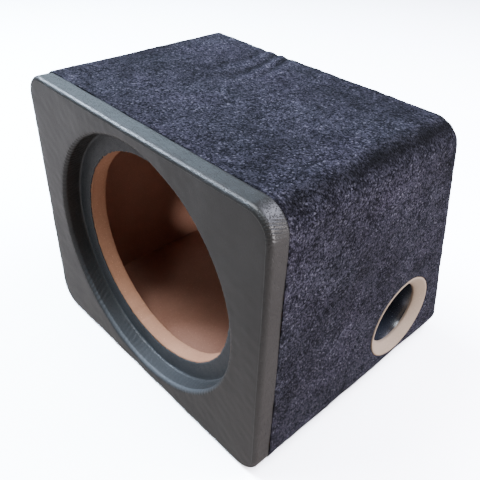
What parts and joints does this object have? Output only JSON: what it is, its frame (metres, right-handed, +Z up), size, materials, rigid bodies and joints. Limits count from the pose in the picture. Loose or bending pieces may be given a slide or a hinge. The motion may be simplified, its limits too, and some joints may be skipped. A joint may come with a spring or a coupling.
{
  "type": "unloaded car subwoofer enclosure",
  "caption": "Slant-back carpeted subwoofer box with a wrapped front frame, a recessed driver cut-out, a side port and a sprung push terminal at the back.",
  "frame": {"origin": "middle of the base's footprint, on the floor", "axes": "+X to the viewer's right when facing the driver, +Y towards the slanted back, +Z up"},
  "size_m": [0.36, 0.323, 0.308],
  "materials": {
    "fibreboard": "raw, sawn",
    "leatherette": "fine pebble grain, satin",
    "carpet": "short non-woven pile",
    "port_plastic": "glossy",
    "terminal_plastic": "satin",
    "red_plastic": "satin",
    "black_plastic": "satin",
    "foam": "closed-cell foam",
    "brass": "bright",
    "screw_steel": "zinc plated"
  },
  "bodies": {
    "enclosure": {"front_frame": "fibreboard", "driver_baffle": "fibreboard", "top_panel": "fibreboard", "bottom_panel": "fibreboard", "left_panel": "fibreboard", "right_panel": "fibreboard", "rear_panel": "fibreboard", "port_ring": "fibreboard", "leatherette_cover": "leatherette", "carpet_wrap": "carpet", "carpet_base": "carpet", "carpet_rear": "carpet", "port_tube": "port_plastic", "terminal_cup": "terminal_plastic", "terminal_gasket": "foam", "terminal_contact_red": "brass", "terminal_contact_black": "brass", "terminal_hinge_pin": "screw_steel", "terminal_spring_red": "screw_steel", "terminal_spring_black": "screw_steel", "frame_screw_1": "screw_steel", "frame_screw_2": "screw_steel", "frame_screw_3": "screw_steel", "frame_screw_4": "screw_steel", "frame_screw_5": "screw_steel", "frame_screw_6": "screw_steel", "frame_screw_7": "screw_steel", "frame_screw_8": "screw_steel", "baffle_screw_1": "screw_steel", "baffle_screw_2": "screw_steel", "baffle_screw_3": "screw_steel", "baffle_screw_4": "screw_steel", "baffle_screw_5": "screw_steel", "baffle_screw_6": "screw_steel", "rear_screw_1": "screw_steel", "rear_screw_2": "screw_steel", "rear_screw_3": "screw_steel", "rear_screw_4": "screw_steel", "terminal_screw_1": "screw_steel", "terminal_screw_2": "screw_steel", "terminal_screw_3": "screw_steel", "terminal_screw_4": "screw_steel"},
    "red_lever": {"terminal_lever_red": "red_plastic"},
    "black_lever": {"terminal_lever_black": "black_plastic"}
  },
  "joints": [
    {"name": "red_lever_press", "type": "hinge", "parent": "enclosure", "child": "red_lever", "pos_m": [-0.0078, 0.10752, 0.19209], "axis": [-1, 0, 0], "range_deg": [0, 12], "stiffness_Nm_per_rad": 0.15, "springref_deg": -5.73, "deforming": ["terminal_spring_red"]},
    {"name": "black_lever_press", "type": "hinge", "parent": "enclosure", "child": "black_lever", "pos_m": [0.0078, 0.10752, 0.19209], "axis": [-1, 0, 0], "range_deg": [0, 12], "stiffness_Nm_per_rad": 0.15, "springref_deg": -5.73, "deforming": ["terminal_spring_black"]}
  ]
}
